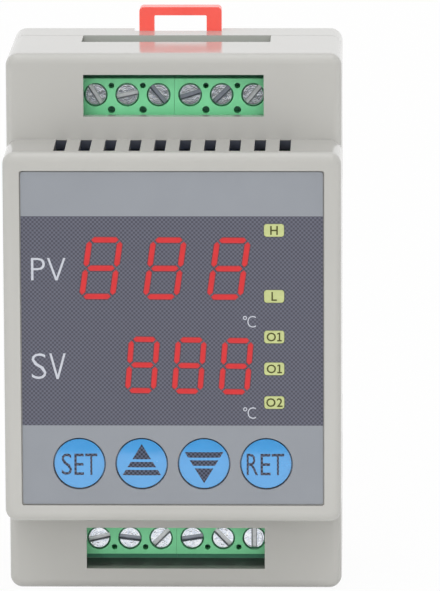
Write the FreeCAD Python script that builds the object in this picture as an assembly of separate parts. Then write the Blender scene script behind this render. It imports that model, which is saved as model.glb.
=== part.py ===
import FreeCAD
import Part
import math
import os

# Temperature controller in a three-module housing that snaps onto a 35 mm top-hat rail.
# Millimetres. +X to the right, +Z up, and the face looks along -Y.
# The origin is the centre of the rail seat: the rail's flanges lie on the plane Y = 0.

V = FreeCAD.Vector

# Two lengths closer than this are the same
same = 1e-6

# Housing
case_width = 54.0
block_height = 60.4
block_depth = 12.0
block_draft = 1.5
wall = 2.0
face_wall = 1.8
corner_round = 2.0
edge_round = 1.5
parting = 3.8
parting_gap = 0.2
tail_depth = 4.8
tail_round = 0.6
slip = 0.15

# Vents in the two steps of the block
vent_count = 10
vent_pitch = 4.0
vent_width = 1.8
vent_length = 9.7
vent_setback = 0.2
vent_lip = 0.12

# Terminals and the openings over them
pole_pitch = 5.08
poles = 3
terminal_recess = 4.9
terminal_outer = 4.1
terminal_inner = 6.6
terminal_step = 1.45
terminal_step_depth = 3.4
terminal_gap = 1.25
terminal_floor = 1.8
block_seam = 0.04
screw_to_block = 6.45
window_width = 29.0
window_height = 6.8
window_shift = 0.6
wire_slot_width = 30.7
wire_slot_depth = 7.1
test_hole_depth = 3.0
test_hole_outer = (0.46, 1.5)
test_hole_inner = (0.6, -2.45)

# Clamp of one pole
head_radius = 1.78
head_height = 1.6
head_sink = 0.3
head_bevel = 0.12
well_radius = 1.92
slot_width = 0.85
slot_depth = 0.9
shank_radius = 1.25
neck_width = 2.9
neck_length = 1.0
thread_fit = 0.05
cage_width = 3.9
cage_length = 4.6
cage_top = 1.2
cage_side = 0.7
cage_foot = 0.8
cage_travel = 2.5
cage_room = 0.43
wire_room = 3.3
cage_play = 0.12
bar_width = 2.2
bar_thickness = 0.8
pin_width = 1.0
pin_tail = 2.4
contact_play = 0.1
wire_hole_width = 3.4
top_slot_angles = (122.0, 12.0, 130.0, 18.0, 44.0, 50.0)
bottom_slot_angles = (13.0, 173.0, 45.0, 9.0, 134.0, 90.0)

# Rail seat and rail clip
rail_width = 35.0
rail_flange = 1.0
rail_play = 0.1
release_room = 0.3
hook_overlap = 1.6
clip_thickness = 3.0
clip_width = 13.5
clip_notch = 14.5
clip_reach = 3.9
clip_travel = 2.5
clip_play = 0.1
clip_stop_room = 0.3
loop_leg = 2.45
loop_bar = 1.36
loop_open = 5.0
loop_round = 0.7
loop_inner_round = 0.2
flange_out = 0.9
flange_thickness = 1.4
flange_play = 0.5
flange_length = 3.0
arm_width = 1.6
arm_length = 12.0
arm_slit = 1.0
nub_out = 0.6
nub_length = 2.5
nub_play = 0.5
clip_shift = 0.38
guide_wall = 2.4

# Main board
board_thickness = 1.6
board_edge = 0.4
post_radius = 2.5
post_inset_x = 7.0
post_inset_z = 6.0
peg_radius = 1.0
peg_play = 0.15
peg_tip = 1.0
stop_width = 2.5
tongue_width = 7.0
tongue_thickness = 1.4
tongue_reach = 7.0
tongue_place = 25.0
hook_depth = 0.8
hook_length = 2.2
hook_play = 0.3
pin_hole_radius = 0.75

# Face film and the lights behind it
film_rim_side = 2.9
film_rim_end = 3.15
film_drop = 0.2
film_thickness = 0.4
film_sink = 0.3
film_play = 0.2
film_round = 0.4
light_play = 0.05
segment_gap = 0.3
pv_digits = 3
pv_pitch = 10.19
pv_inset = 0.43
pv_level = 11.22
pv_tilt = 0.2
pv_slant = 8.0
pv_size = (5.8, 10.12)
pv_stroke = 0.93
pv_case = (30.2, 13.6)
sv_digits = 3
sv_pitch = 7.49
sv_inset = 0.81
sv_level = -4.58
sv_tilt = 0.7
sv_slant = 4.1
sv_size = (4.99, 9.25)
sv_stroke = 0.89
sv_case = (21.8, 12.4)
display_depth = 6.8
display_bevel = 0.4
case_play = 0.2
lamp_size = (3.2, 2.05)
lamp_round = 0.45
lamp_inset = 7.8
lamp_rows = (17.4, 6.7, 0.1, -5.1, -10.6)
lamp_foot = 0.6
lamp_foot_length = 1.2

# Keys and their switches
key_radius = 4.0
key_play = 0.25
key_pitch = 10.0
key_row = 6.6
key_proud = 0.05
key_dome = 0.3
key_flange_out = 0.7
key_flange = 0.6
key_rest = 0.05
key_travel = 0.5
switch_width = 6.0
switch_height = 3.5
switch_bevel = 0.3
plunger_radius = 1.75
plunger_play = 0.1
plunger_sunk = 0.8
plunger_room = 0.2

# Display board
face_board_edge = 1.5
boss_radius = 2.2
boss_inset_x = 2.7
boss_inset_z = 3.2
boss_over_keys = 6.7
screw_hole_radius = 1.1
screw_radius = 0.8
screw_fit = 0.05
screw_length = 5.0
screw_head_radius = 1.8
screw_head = 1.2
pan_bevel = 0.4

# Parts on the boards
coil_size = (28.0, 16.0, 23.0)
coil_place = (-4.0, -5.5)
coil_bevel = 1.0
part_gap = 1.2
relay_size = (15.4, 15.6, 19.0)
relay_bevel = 0.6
relay_skirt = 0.4
relay_skirt_height = 1.5
large_can = (4.0, 14.0)
large_can_z = -8.0
small_can = (3.15, 11.0)
can_bevel = 0.4
link_pitch = 2.54
link_rows = 6
link_columns = 2
link_inset = 7.6
link_z = 12.5
link_strip = 2.5
link_socket = 8.5
link_pin = 0.64
link_hole = 0.9
link_hole_room = 1.0
chip_size = (9.9, 1.8, 6.0)
chip_place = (-6.0, 2.0)
chip_bevel = 0.25
chip_lead = (0.4, 0.2, 1.1)
chip_lead_count = 8
chip_lead_pitch = 1.27

# Levels along Y, from the rail seat out to the face
back_y = tail_depth
base_front_y = -parting
cover_rear_y = base_front_y - parting_gap
board_rear_y = cover_rear_y
board_front_y = board_rear_y - board_thickness
cage_rear_y = board_front_y - terminal_floor - cage_play
bar_rear_y = cage_rear_y - cage_foot - wire_room
bar_front_y = bar_rear_y - bar_thickness
cage_mouth_y = bar_front_y - contact_play
cage_front_y = cage_mouth_y - cage_top
chamber_front_y = cage_front_y - cage_travel - cage_room
head_seat_y = chamber_front_y - neck_length
head_rear_y = head_seat_y - thread_fit
head_front_y = head_rear_y - head_height
terminal_face_y = head_front_y - head_sink
shoulder_y = terminal_face_y - terminal_recess
shoulder_in_y = shoulder_y + wall
front_y = shoulder_y - block_depth
film_front_y = front_y + film_sink
film_rear_y = film_front_y + film_thickness
face_in_y = film_rear_y + face_wall
light_front_y = film_front_y + light_play
display_front_y = film_rear_y + light_play
face_board_front_y = display_front_y + display_depth
face_board_rear_y = face_board_front_y + board_thickness
key_rim_y = film_front_y - key_proud + key_dome
key_flange_y = face_in_y + key_rest
plunger_front_y = key_flange_y + key_flange + key_rest
switch_front_y = face_board_front_y - switch_height
plunger_rear_y = switch_front_y + plunger_sunk
snap_tip_y = base_front_y - tongue_reach
snap_heel_y = snap_tip_y + hook_length
seat_floor_y = -face_wall
hook_front_y = rail_flange + release_room
clip_front_y = hook_front_y + clip_play
clip_back_y = clip_front_y + clip_thickness
ear_back_y = clip_front_y + flange_thickness

# Places across the housing
half_width = case_width / 2
half_block = block_height / 2
inner_x = half_width - wall
screw_z = half_block + screw_to_block
terminal_outer_z = screw_z + terminal_outer
inner_z = terminal_outer_z + terminal_gap
half_height = inner_z + wall
pin_z = screw_z - terminal_inner + pin_width
bar_inner_z = pin_z - pin_width / 2
bar_outer_z = screw_z + cage_length / 2
film_half_width = half_width - film_rim_side
film_half_height = half_block - film_rim_end
lamp_x = film_half_width - lamp_inset
lamp_side_x = lamp_x - (lamp_size[0] + lamp_foot) / 2
pv_centre = (lamp_side_x - pv_inset - pv_case[0] / 2, pv_level)
sv_centre = (lamp_side_x - sv_inset - sv_case[0] / 2, sv_level)
key_z = -film_half_height - film_drop + key_row
key_names = ("set", "up", "down", "return")
rail_half = rail_width / 2
seat_low_z = -rail_half - rail_play
seat_high_z = rail_half + release_room
clip_nose_z = rail_half - hook_overlap
low_ear_z = seat_high_z + clip_stop_room
arm_root_z = low_ear_z + flange_length
arm_tip_z = arm_root_z + arm_length
high_ear_z = arm_tip_z + arm_slit
clip_top_z = half_height + clip_reach
boss_x = inner_x - boss_inset_x
boss_places = [(side * boss_x, z) for side in (-1, 1)
               for z in (half_block - wall - boss_inset_z, key_z + boss_over_keys)]
link_place = (inner_x - link_inset, link_z)
relay_width = relay_size[0] + relay_skirt
relay_height = relay_size[2] + relay_skirt
relay_x = link_place[0] - link_columns * link_pitch / 2 - part_gap - relay_width / 2
relay_z = coil_place[1] + coil_size[2] / 2 + part_gap + relay_height / 2
relay_places = ((relay_x - relay_width - part_gap, relay_z), (relay_x, relay_z))
can_side_x = coil_place[0] + coil_size[0] / 2 + part_gap
large_can_place = (can_side_x + large_can[0], large_can_z)
small_can_place = (can_side_x + small_can[0], large_can_z - large_can[0] - part_gap - small_can[0])
post_x = half_width - post_inset_x
post_z = half_height - post_inset_z


def box(x0, x1, y0, y1, z0, z1):
    return Part.makeBox(x1 - x0, y1 - y0, z1 - z0, V(x0, y0, z0))


def block(x, z, width, height, y0, y1):
    return box(x - width / 2, x + width / 2, y0, y1, z - height / 2, z + height / 2)


def rod(x, z, radius, y0, y1):
    return Part.makeCylinder(radius, y1 - y0, V(x, y0, z), V(0, 1, 0))


def fused(shapes):
    return shapes[0].multiFuse(shapes[1:]).removeSplitter()


def cut(shape, tools):
    return shape.cut(Part.makeCompound(tools))


def along_y(shape):
    return [e for e in shape.Edges if abs(abs(e.tangentAt(e.FirstParameter).y) - 1) < same]


def on_level(shape, y):
    return [e for e in shape.Edges if max(abs(e.BoundBox.YMin - y), abs(e.BoundBox.YMax - y)) < same]


def rounded_block(x, z, width, height, y0, y1, radius):
    solid = block(x, z, width, height, y0, y1)
    return solid.makeFillet(radius, along_y(solid))


def prism(points, start, travel):
    """Closed outline of straight runs, pushed along travel."""
    corners = [start + p for p in points]
    return Part.Face(Part.makePolygon(corners + corners[:1])).extrude(travel)


def both_ends(shape):
    return [shape, shape.mirror(V(0, 0, 0), V(0, 0, 1))]


def both_sides(shape):
    return [shape, shape.mirror(V(0, 0, 0), V(1, 0, 0))]


def row_x(index, count, pitch):
    return (index - (count - 1) / 2) * pitch


def key_x(index):
    return row_x(index, len(key_names), key_pitch)


def pole_x(index):
    return row_x(index, 2 * poles, pole_pitch)


def seven_segments(x, z, size, stroke, slant, grow):
    """Outlines of one slanted digit, with 45 degree points, as faces on the plane Y = 0."""
    half = stroke / 2 + grow
    arm = (size[0] - stroke) / 2
    leg = (size[1] - stroke) / 2
    lean = math.tan(math.radians(slant))
    trim = segment_gap / math.sqrt(2) - grow
    faces = []
    for level in (-leg, 0, leg):
        a, b = -arm + trim, arm - trim
        ring = [(a, 0), (a + half, half), (b - half, half), (b, 0), (b - half, -half), (a + half, -half)]
        faces.append([(px, level + pz) for px, pz in ring])
    for side in (-arm, arm):
        for low in (-leg, 0):
            a, b = low + trim, low + leg - trim
            ring = [(0, a), (half, a + half), (half, b - half), (0, b), (-half, b - half), (-half, a + half)]
            faces.append([(side + px, pz) for px, pz in ring])
    return [[V(x + px + pz * lean, 0, z + pz) for px, pz in ring] for ring in faces]


def askew(shape, centre, tilt):
    """Turns a display's piece about the display's middle, clockwise as the face is read."""
    return shape.rotated(V(centre[0], 0, centre[1]), V(0, 1, 0), tilt)


def digit_bars(count, pitch, centre, size, stroke, slant, tilt, y0, y1, grow):
    bars = []
    for index in range(count):
        x = centre[0] + row_x(index, count, pitch)
        for ring in seven_segments(x, centre[1], size, stroke, slant, grow):
            bars.append(askew(prism(ring, V(0, y0, 0), V(0, y1 - y0, 0)), centre, tilt))
    return bars


def pv_bars(y0, y1, grow):
    return digit_bars(pv_digits, pv_pitch, pv_centre, pv_size, pv_stroke, pv_slant, pv_tilt, y0, y1, grow)


def sv_bars(y0, y1, grow):
    return digit_bars(sv_digits, sv_pitch, sv_centre, sv_size, sv_stroke, sv_slant, sv_tilt, y0, y1, grow)


def display_windows(y0, y1):
    windows = []
    for centre, size, tilt in ((pv_centre, pv_case, pv_tilt), (sv_centre, sv_case, sv_tilt)):
        window = block(centre[0], centre[1], size[0] + 2 * case_play, size[1] + 2 * case_play, y0, y1)
        windows.append(askew(window, centre, tilt))
    return windows


def lamp_blocks(y0, y1, grow):
    width, height = lamp_size[0] + 2 * grow, lamp_size[1] + 2 * grow
    return [rounded_block(lamp_x, z, width, height, y0, y1, lamp_round) for z in lamp_rows]


def key_bores(y0, y1):
    return [rod(key_x(i), key_z, key_radius + key_play, y0, y1) for i in range(len(key_names))]


def shoulder_block():
    """Body behind the step, with a rounded rim at its front."""
    solid = rounded_block(0, 0, case_width, 2 * half_height, shoulder_y, cover_rear_y, corner_round)
    return solid.makeFillet(edge_round, on_level(solid, shoulder_y))


def face_block():
    """Raised block with a rounded front rim, whose upper and lower sides lean in by the mould's draft."""
    slope = math.tan(math.radians(block_draft))
    outline = [V(0, front_y, -half_block), V(0, front_y, half_block - slope * block_depth),
               V(0, shoulder_in_y, half_block + slope * wall),
               V(0, shoulder_in_y, -half_block - slope * (block_depth + wall))]
    solid = prism(outline, V(-half_width, 0, 0), V(case_width, 0, 0))
    solid = solid.makeFillet(corner_round, [e for e in solid.Edges if e.BoundBox.YLength > block_depth])
    return solid.makeFillet(edge_round, on_level(solid, front_y))


def cover_body():
    shoulders = shoulder_block()
    face = face_block()
    hollow = block(0, 0, 2 * inner_x, 2 * inner_z, shoulder_in_y, cover_rear_y)
    face_hollow = block(0, 0, 2 * inner_x, block_height - 2 * wall, face_in_y, shoulder_in_y)
    return cut(fused([shoulders, face]), [hollow, face_hollow])


def vents():
    """Slots whose far end leans back under a thin lip, so that they open straight into the housing."""
    y1 = shoulder_y - vent_setback
    y0 = y1 - vent_length
    outline = [V(0, y0, half_block + wall), V(0, y1, half_block + wall), V(0, y1, half_block - vent_lip),
               V(0, shoulder_in_y, half_block - wall), V(0, shoulder_in_y, half_block - 2 * wall),
               V(0, y0, half_block - 2 * wall)]
    slots = []
    for index in range(vent_count):
        x = row_x(index, vent_count, vent_pitch)
        slots += both_ends(prism(outline, V(x - vent_width / 2, 0, 0), V(vent_width, 0, 0)))
    return slots


def terminal_windows():
    z = screw_z + window_shift
    window = block(0, z, window_width, window_height, shoulder_y - wall, shoulder_in_y + wall)
    slot = box(-wire_slot_width / 2, wire_slot_width / 2, cover_rear_y - wire_slot_depth,
               cover_rear_y + wall, inner_z - wall / 2, half_height + wall)
    return both_ends(window) + both_ends(slot)


def face_cutouts():
    recess = rounded_block(0, -film_drop, 2 * (film_half_width + film_play),
                           2 * (film_half_height + film_play), front_y - wall, film_rear_y, film_round)
    through = face_in_y + wall
    width, height = lamp_size[0] + 2 * case_play, lamp_size[1] + 2 * case_play
    lamps = [block(lamp_x, z, width, height, front_y, through) for z in lamp_rows]
    return [recess] + display_windows(front_y, through) + lamps + key_bores(front_y, through)


def snap_windows():
    windows = []
    for z in (-tongue_place, tongue_place):
        window = box(inner_x - wall, half_width + wall, snap_tip_y - hook_play, snap_heel_y + hook_play,
                     z - tongue_width / 2 - hook_play, z + tongue_width / 2 + hook_play)
        windows += both_sides(window)
    return windows


def board_stops():
    """Corner ribs that hold the main board down on its posts."""
    ribs = []
    rib = box(inner_x - stop_width, inner_x + wall / 2, shoulder_in_y - wall / 2, board_front_y,
              inner_z - stop_width, inner_z + wall / 2)
    for end in both_ends(rib):
        ribs += both_sides(end)
    return ribs


def face_bosses():
    bosses = []
    for x, z in boss_places:
        post = rod(x, z, boss_radius, face_in_y - face_wall / 2, face_board_front_y)
        pilot = rod(x, z, screw_radius + screw_fit, face_board_front_y - screw_length, face_board_front_y)
        bosses.append(post.cut(pilot))
    return bosses


def front_cover():
    shell = cut(cover_body(), vents() + terminal_windows() + face_cutouts() + snap_windows())
    return fused([shell] + board_stops() + face_bosses())


def base_body():
    outer = rounded_block(0, 0, case_width, 2 * half_height, base_front_y, back_y, corner_round)
    outer = outer.makeFillet(tail_round, on_level(outer, back_y))
    rail_channel = box(-half_width - wall, half_width + wall, 0, back_y + wall, seat_low_z, seat_high_z)
    tray = block(0, 0, 2 * inner_x, 2 * inner_z, base_front_y - wall, seat_floor_y)
    low_pocket = box(-inner_x, inner_x, seat_floor_y, back_y - wall, -inner_z, seat_low_z - wall)
    high_pocket = box(-inner_x, inner_x, seat_floor_y, back_y - wall, seat_high_z + wall, inner_z)
    return cut(outer, [rail_channel, tray, low_pocket, high_pocket])


def fixed_hook():
    """Lip along the lower side of the rail channel, with a slope that leads the rail in."""
    tip_z = -rail_half + hook_overlap
    root_z = seat_low_z - wall
    mid_y = (hook_front_y + back_y) / 2
    outline = [V(0, hook_front_y, root_z), V(0, hook_front_y, tip_z), V(0, mid_y, tip_z),
               V(0, back_y, seat_low_z), V(0, back_y, root_z)]
    return prism(outline, V(-half_width + tail_round, 0, 0), V(case_width - 2 * tail_round, 0, 0))


def clip_guide():
    """Block behind the tray that carries the clip's T-slot."""
    half = clip_notch / 2 + flange_out + flange_play + nub_out + nub_play + guide_wall
    return box(-half, half, hook_front_y - face_wall, back_y, seat_high_z, half_height - wall / 2)


def clip_slots():
    wide = clip_notch / 2 + flange_out + flange_play
    slot_back = ear_back_y + flange_play
    slot_top = high_ear_z + flange_length + clip_travel + clip_stop_room
    mouth = box(-clip_notch / 2, clip_notch / 2, hook_front_y, back_y + wall, seat_high_z - wall,
                half_height + wall)
    tee = box(-wide, wide, hook_front_y, slot_back, seat_high_z - wall, slot_top)
    pocket = box(-wide - nub_out - nub_play, wide + nub_out + nub_play, hook_front_y, slot_back,
                 arm_tip_z - nub_length - clip_stop_room, arm_tip_z + clip_travel + clip_stop_room)
    return [mouth, tee, pocket]


def board_posts():
    posts = []
    for x in (-post_x, post_x):
        for z in (-post_z, post_z):
            posts.append(rod(x, z, post_radius, board_rear_y, back_y - wall / 2))
            posts.append(rod(x, z, peg_radius, board_front_y - peg_tip, back_y - wall / 2))
    return posts


def snap_tongues():
    """Springy tongues inside the side walls, each with a wedge that clicks into the cover."""
    outer = inner_x - slip
    tongues = []
    for z in (-tongue_place, tongue_place):
        z0 = z - tongue_width / 2
        blade = box(outer - tongue_thickness, outer, snap_tip_y, base_front_y, z0, z0 + tongue_width)
        root = box(outer - tongue_thickness, inner_x + wall / 2, base_front_y, seat_floor_y, z0,
                   z0 + tongue_width)
        wedge = prism([V(outer, snap_tip_y, z0), V(outer + slip + hook_depth, snap_heel_y, z0),
                       V(outer, snap_heel_y, z0)], V(0, 0, 0), V(0, 0, tongue_width))
        tongues += both_sides(fused([blade, root, wedge]))
    return tongues


def rear_base():
    body = fused([base_body(), fixed_hook(), clip_guide()])
    return fused([cut(body, clip_slots())] + board_posts() + snap_tongues())


def rail_clip():
    """Clip with its release loop, lying to one side in the play of its guide."""
    half = clip_width / 2
    blade = box(-half, half, clip_front_y, clip_back_y, clip_nose_z, clip_top_z)
    shoulders = [e for e in along_y(blade) if e.BoundBox.ZMin > half_height]
    blade = blade.makeFillet(loop_round, shoulders)
    loop = block(0, clip_top_z - loop_bar - loop_open / 2, clip_width - 2 * loop_leg, loop_open,
                 clip_front_y, clip_back_y)
    loop = loop.makeFillet(loop_inner_round, along_y(loop))
    slit_x = half - arm_width - arm_slit
    slit = box(slit_x, half - arm_width, clip_front_y, clip_back_y, arm_root_z, high_ear_z)
    tip_gap = box(slit_x, half, clip_front_y, clip_back_y, arm_tip_z, high_ear_z)
    ramp = prism([V(-half, clip_back_y, clip_nose_z + clip_thickness), V(-half, clip_back_y, clip_nose_z),
                  V(-half, clip_front_y + clip_play, clip_nose_z)], V(0, 0, 0), V(clip_width, 0, 0))
    blade = cut(blade, [loop, ramp] + both_sides(slit) + both_sides(tip_gap))
    wide = clip_notch / 2 + flange_out
    inboard = half - arm_width / 2
    ears = []
    for z in (low_ear_z, high_ear_z):
        ears += both_sides(box(inboard, wide, clip_front_y, ear_back_y, z, z + flange_length))
    ears += both_sides(box(inboard, wide + flange_play + nub_out, clip_front_y, ear_back_y,
                           arm_tip_z - nub_length, arm_tip_z))
    return fused([blade] + ears).translated(V(clip_shift, 0, 0))


def face_overlay():
    film = rounded_block(0, -film_drop, 2 * film_half_width, 2 * film_half_height, film_front_y,
                         film_rear_y, film_round)
    y0, y1 = film_front_y - film_thickness, film_rear_y + film_thickness
    holes = pv_bars(y0, y1, light_play) + sv_bars(y0, y1, light_play)
    return cut(film, holes + lamp_blocks(y0, y1, light_play) + key_bores(y0, y1))


def display_case(centre, size, tilt):
    solid = block(centre[0], centre[1], size[0], size[1], display_front_y, face_board_front_y)
    return askew(solid.makeChamfer(display_bevel, on_level(solid, display_front_y)), centre, tilt)


def indicator_lamps():
    lamps = []
    for lens, z in zip(lamp_blocks(light_front_y, face_board_front_y, 0), lamp_rows):
        foot = block(lamp_x, z, lamp_size[0] + lamp_foot, lamp_size[1] + lamp_foot,
                     face_board_front_y - lamp_foot_length, face_board_front_y)
        lamps.append(fused([lens, foot]))
    return Part.makeCompound(lamps)


def key_cap(index):
    """Domed cap with a flange that stops against the back of the face wall."""
    x = key_x(index)
    top_y = key_rim_y - key_dome
    rear_y = key_flange_y + key_flange
    dome_radius = (key_radius ** 2 + key_dome ** 2) / (2 * key_dome)
    ball = Part.makeSphere(dome_radius, V(x, top_y + dome_radius, key_z))
    cap = rod(x, key_z, key_radius, top_y, rear_y).common(ball)
    return fused([cap, rod(x, key_z, key_radius + key_flange_out, key_flange_y, rear_y)])


def switch_plunger(index):
    return rod(key_x(index), key_z, plunger_radius, plunger_front_y, plunger_rear_y)


def switch_bodies():
    bodies = []
    for index in range(len(key_names)):
        x = key_x(index)
        body = block(x, key_z, switch_width, switch_width, switch_front_y, face_board_front_y)
        body = body.makeChamfer(switch_bevel, along_y(body))
        well = rod(x, key_z, plunger_radius + plunger_play, switch_front_y,
                   plunger_rear_y + key_travel + plunger_room)
        bodies.append(body.cut(well))
    return Part.makeCompound(bodies)


def display_board():
    half_x = inner_x - face_board_edge
    half_z = half_block - wall - face_board_edge
    board = block(0, 0, 2 * half_x, 2 * half_z, face_board_front_y, face_board_rear_y)
    holes = [rod(x, z, screw_hole_radius, face_board_front_y, face_board_rear_y) for x, z in boss_places]
    return cut(board, holes)


def board_screws():
    screws = []
    for x, z in boss_places:
        head = rod(x, z, screw_head_radius, face_board_rear_y, face_board_rear_y + screw_head)
        head = head.makeChamfer(pan_bevel, on_level(head, face_board_rear_y + screw_head))
        tip_y = face_board_front_y - screw_length + board_thickness
        screws.append(fused([head, rod(x, z, screw_radius, tip_y, face_board_rear_y)]))
    return Part.makeCompound(screws)


def main_board():
    half_x = inner_x - board_edge
    half_z = inner_z - board_edge
    board = block(0, 0, 2 * half_x, 2 * half_z, board_front_y, board_rear_y)
    holes = []
    for x in (-post_x, post_x):
        for z in (-post_z, post_z):
            holes.append(rod(x, z, peg_radius + peg_play, board_front_y, board_rear_y))
    for index in range(2 * poles):
        holes += both_ends(rod(pole_x(index), pin_z, pin_hole_radius, board_front_y, board_rear_y))
    for z in (-tongue_place, tongue_place):
        notch = box(inner_x - slip - tongue_thickness - hook_play, half_x + wall, board_front_y, board_rear_y,
                    z - tongue_width / 2 - hook_play, z + tongue_width / 2 + hook_play)
        holes += both_sides(notch)
    return cut(board, holes)


def on_main_board(place, size):
    return block(place[0], place[1], size[0], size[2], board_front_y - size[1], board_front_y)


def transformer():
    solid = on_main_board(coil_place, coil_size)
    solid = solid.makeChamfer(coil_bevel, along_y(solid))
    return solid.makeChamfer(coil_bevel / 2, on_level(solid, board_front_y - coil_size[1]))


def relay(index):
    place = relay_places[index]
    lid = on_main_board(place, relay_size)
    lid = lid.makeChamfer(relay_bevel, along_y(lid))
    lid = lid.makeChamfer(relay_bevel / 2, on_level(lid, board_front_y - relay_size[1]))
    skirt = block(place[0], place[1], relay_width, relay_height, board_front_y - relay_skirt_height,
                  board_front_y)
    return fused([lid, skirt])


def capacitor(place, size):
    radius, height = size
    can = rod(place[0], place[1], radius, board_front_y - height, board_front_y)
    return can.makeChamfer(can_bevel, on_level(can, board_front_y - height))


def link_points():
    points = []
    for column in range(link_columns):
        for row in range(link_rows):
            points.append((link_place[0] + row_x(column, link_columns, link_pitch),
                           link_place[1] + row_x(row, link_rows, link_pitch)))
    return points


def link_block(y0, y1):
    return block(link_place[0], link_place[1], link_columns * link_pitch, link_rows * link_pitch, y0, y1)


def link_header():
    strip_y = board_front_y - link_strip
    tip_y = face_board_rear_y + link_hole_room * 2
    pins = [block(x, z, link_pin, link_pin, tip_y, strip_y + link_strip / 2) for x, z in link_points()]
    return fused([link_block(strip_y, board_front_y)] + pins)


def link_socket_strip():
    mouth_y = face_board_rear_y + link_socket
    holes = [block(x, z, link_hole, link_hole, face_board_rear_y + link_hole_room, mouth_y)
             for x, z in link_points()]
    return cut(link_block(face_board_rear_y, mouth_y), holes)


def controller_chip():
    y1 = face_board_rear_y + chip_size[1]
    body = block(chip_place[0], chip_place[1], chip_size[0], chip_size[2], face_board_rear_y, y1)
    body = body.makeChamfer(chip_bevel, on_level(body, y1))
    leads = []
    for index in range(chip_lead_count):
        x = chip_place[0] + row_x(index, chip_lead_count, chip_lead_pitch)
        for side in (-1, 1):
            z = chip_place[1] + side * (chip_size[2] + chip_lead[2]) / 2
            leads.append(block(x, z, chip_lead[0], chip_lead[2], face_board_rear_y,
                               face_board_rear_y + chip_lead[1]))
    return fused([body] + leads)


def clamp_cage(x, z):
    """Rising frame: the screw runs in its head, the contact bar and the wire pass through it."""
    frame = block(x, z, cage_width, cage_length, cage_front_y, cage_rear_y)
    mouth = block(x, z, cage_width - 2 * cage_side, cage_length, cage_mouth_y, cage_rear_y - cage_foot)
    thread = rod(x, z, shank_radius + thread_fit, cage_front_y, cage_mouth_y)
    return cut(frame, [mouth, thread])


def terminal_screw(x, z, angle):
    head = rod(x, z, head_radius, head_front_y, head_rear_y)
    head = head.makeChamfer(head_bevel, on_level(head, head_front_y))
    shank = rod(x, z, shank_radius, head_rear_y - head_height / 2, bar_front_y - thread_fit)
    slot = block(x, z, 2 * head_radius, slot_width, head_front_y, head_front_y + slot_depth)
    slot.rotate(V(x, head_front_y, z), V(0, -1, 0), angle)
    return fused([head, shank]).cut(slot)


def pole_cavity(x):
    """Screw well, neck, cage chamber, wire mouth and contact slot of one pole of the upper row."""
    well = rod(x, screw_z, well_radius, terminal_face_y - wall, head_seat_y)
    neck = block(x, screw_z, neck_width, neck_width, head_seat_y, chamber_front_y)
    chamber = block(x, screw_z, cage_width + 2 * cage_play, cage_length + 2 * cage_play, chamber_front_y,
                    board_front_y - terminal_floor)
    mouth = box(x - wire_hole_width / 2, x + wire_hole_width / 2, bar_rear_y, cage_rear_y - cage_foot,
                screw_z, terminal_outer_z + wall)
    half = bar_width / 2 + contact_play
    slot = box(x - half, x + half, bar_front_y - contact_play, bar_rear_y + contact_play,
               bar_inner_z - contact_play, screw_z)
    drop = pin_width + 2 * contact_play
    shaft = block(x, pin_z, drop, drop, bar_front_y - contact_play, board_front_y + wall)
    return [well, neck, chamber, mouth, slot, shaft]


def terminal_block(side):
    """Three poles side by side, cut from one moulded profile with a step along the wire side."""
    first = 0 if side < 0 else poles
    width = poles * pole_pitch - block_seam
    x0 = side * poles * pole_pitch / 2 - width / 2
    inner = screw_z - terminal_inner
    step_z = terminal_outer_z - terminal_step
    step_y = terminal_face_y + terminal_step_depth
    outline = [V(0, terminal_face_y, inner), V(0, terminal_face_y, step_z), V(0, step_y, step_z),
               V(0, step_y, terminal_outer_z), V(0, board_front_y, terminal_outer_z),
               V(0, board_front_y, inner)]
    body = prism(outline, V(x0, 0, 0), V(width, 0, 0))
    tools = []
    for index in range(first, first + poles):
        tools += pole_cavity(pole_x(index))
    for index in range(first, first + poles - 1):
        x = pole_x(index) + pole_pitch / 2
        for radius, offset in (test_hole_outer, test_hole_inner):
            tools.append(rod(x, screw_z + offset, radius, terminal_face_y - wall,
                             terminal_face_y + test_hole_depth))
    return cut(body, tools)


def terminal_contacts():
    contacts = []
    for index in range(2 * poles):
        x = pole_x(index)
        bar = box(x - bar_width / 2, x + bar_width / 2, bar_front_y, bar_rear_y, bar_inner_z, bar_outer_z)
        leg = block(x, pin_z, pin_width, pin_width, bar_front_y, board_rear_y + pin_tail)
        contacts += both_ends(fused([bar, leg]))
    return Part.makeCompound(contacts)


def terminal_nodes():
    nodes = {}
    for side, name in ((-1, "left"), (1, "right")):
        top, bottom = both_ends(terminal_block(side))
        nodes["top_" + name + "_terminal_block"] = top
        nodes["bottom_" + name + "_terminal_block"] = bottom
    for row, z, angles in (("top", screw_z, top_slot_angles), ("bottom", -screw_z, bottom_slot_angles)):
        for index in range(2 * poles):
            tail = str(index + 1)
            nodes[row + "_screw_" + tail] = terminal_screw(pole_x(index), z, angles[index])
            nodes[row + "_cage_" + tail] = clamp_cage(pole_x(index), z)
    nodes["terminal_contacts"] = terminal_contacts()
    return nodes


def key_nodes():
    nodes = {}
    for index, name in enumerate(key_names):
        nodes[name + "_key"] = key_cap(index)
        nodes[name + "_plunger"] = switch_plunger(index)
    nodes["key_switches"] = switch_bodies()
    return nodes


def face_nodes():
    return {
        "face_overlay": face_overlay(),
        "display_board": display_board(),
        "display_board_screws": board_screws(),
        "pv_display": display_case(pv_centre, pv_case, pv_tilt),
        "sv_display": display_case(sv_centre, sv_case, sv_tilt),
        "pv_segments": Part.makeCompound(pv_bars(light_front_y, display_front_y, 0)),
        "sv_segments": Part.makeCompound(sv_bars(light_front_y, display_front_y, 0)),
        "indicator_lamps": indicator_lamps(),
        "controller_chip": controller_chip(),
        "link_socket": link_socket_strip(),
    }


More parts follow.
